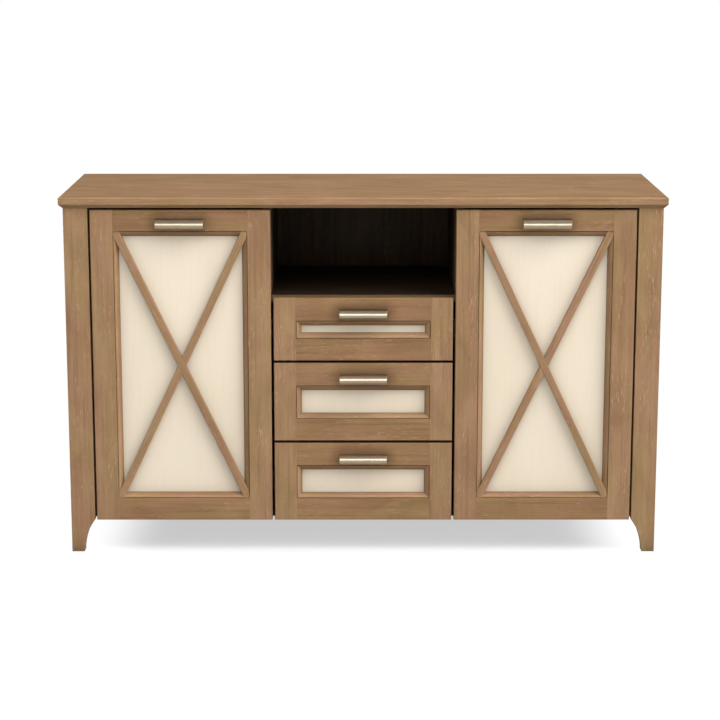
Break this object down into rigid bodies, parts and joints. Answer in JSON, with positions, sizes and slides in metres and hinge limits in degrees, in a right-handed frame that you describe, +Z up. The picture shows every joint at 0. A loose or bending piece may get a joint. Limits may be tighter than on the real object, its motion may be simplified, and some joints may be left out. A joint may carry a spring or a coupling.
{
  "type": "sideboard",
  "caption": "Wooden sideboard with two framed doors with crossed bars, a stack of drawers under an open niche, an overhanging top and shaped legs.",
  "frame": {"origin": "on the floor, at the middle of the whole object's width and depth, handles included", "axes": "+X to the right as seen from the front, +Y towards the back, +Z up"},
  "size_m": [1.524, 0.53, 0.9225],
  "materials": {
    "oak": "light brown stained wood, open grain with pale filler, satin lacquer",
    "interior": "very dark brown boards, dull",
    "cream_panel": "smooth cream paint, satin",
    "nickel": "brushed warm nickel",
    "steel": "steel, blackened and dull",
    "black_plastic": "moulded, dull"
  },
  "bodies": {
    "carcass": {"top_panel": "oak", "front_left_leg": "oak", "front_right_leg": "oak", "back_left_leg": "oak", "back_right_leg": "oak", "left_side_panel": "oak", "right_side_panel": "oak", "bottom_panel": "interior", "left_partition": "interior", "right_partition": "interior", "niche_shelf": "interior", "back_panel": "interior", "back_rail": "interior", "left_shelf": "interior", "right_shelf": "interior", "shelf_pins": "steel", "leg_glides": "black_plastic", "hinge_arms": "steel", "carcass_screws": "steel", "drawer_slide_rails": "steel", "door_catches": "black_plastic"},
    "left_door": {"left_door_hinge_stile": "oak", "left_door_latch_stile": "oak", "left_door_rails": "oak", "left_door_bead": "oak", "left_door_panel": "cream_panel", "left_door_cross_bars": "oak", "left_door_handle": "nickel", "left_door_hinge_cups": "steel", "left_door_fasteners": "steel"},
    "right_door": {"right_door_hinge_stile": "oak", "right_door_latch_stile": "oak", "right_door_rails": "oak", "right_door_bead": "oak", "right_door_panel": "cream_panel", "right_door_cross_bars": "oak", "right_door_handle": "nickel", "right_door_hinge_cups": "steel", "right_door_fasteners": "steel"},
    "upper_drawer": {"upper_drawer_front_frame": "oak", "upper_drawer_bead": "oak", "upper_drawer_panel": "cream_panel", "upper_drawer_box": "interior", "upper_drawer_handle": "nickel", "upper_drawer_slides": "steel", "upper_drawer_screws": "steel"},
    "middle_drawer": {"middle_drawer_front_frame": "oak", "middle_drawer_bead": "oak", "middle_drawer_panel": "cream_panel", "middle_drawer_box": "interior", "middle_drawer_handle": "nickel", "middle_drawer_slides": "steel", "middle_drawer_screws": "steel"},
    "lower_drawer": {"lower_drawer_front_frame": "oak", "lower_drawer_bead": "oak", "lower_drawer_panel": "cream_panel", "lower_drawer_box": "interior", "lower_drawer_handle": "nickel", "lower_drawer_slides": "steel", "lower_drawer_screws": "steel"}
  },
  "joints": [
    {"name": "left_door_hinge", "type": "hinge", "parent": "carcass", "child": "left_door", "pos_m": [-0.677, -0.227, 0.48825], "axis": [0, 0, -1], "range_deg": [0, 95]},
    {"name": "right_door_hinge", "type": "hinge", "parent": "carcass", "child": "right_door", "pos_m": [0.677, -0.227, 0.48825], "axis": [0, 0, 1], "range_deg": [0, 95]},
    {"name": "upper_drawer_slide", "type": "slide", "parent": "carcass", "child": "upper_drawer", "axis": [0, -1, 0], "range_m": [0, 0.3]},
    {"name": "middle_drawer_slide", "type": "slide", "parent": "carcass", "child": "middle_drawer", "axis": [0, -1, 0], "range_m": [0, 0.3]},
    {"name": "lower_drawer_slide", "type": "slide", "parent": "carcass", "child": "lower_drawer", "axis": [0, -1, 0], "range_m": [0, 0.3]}
  ]
}
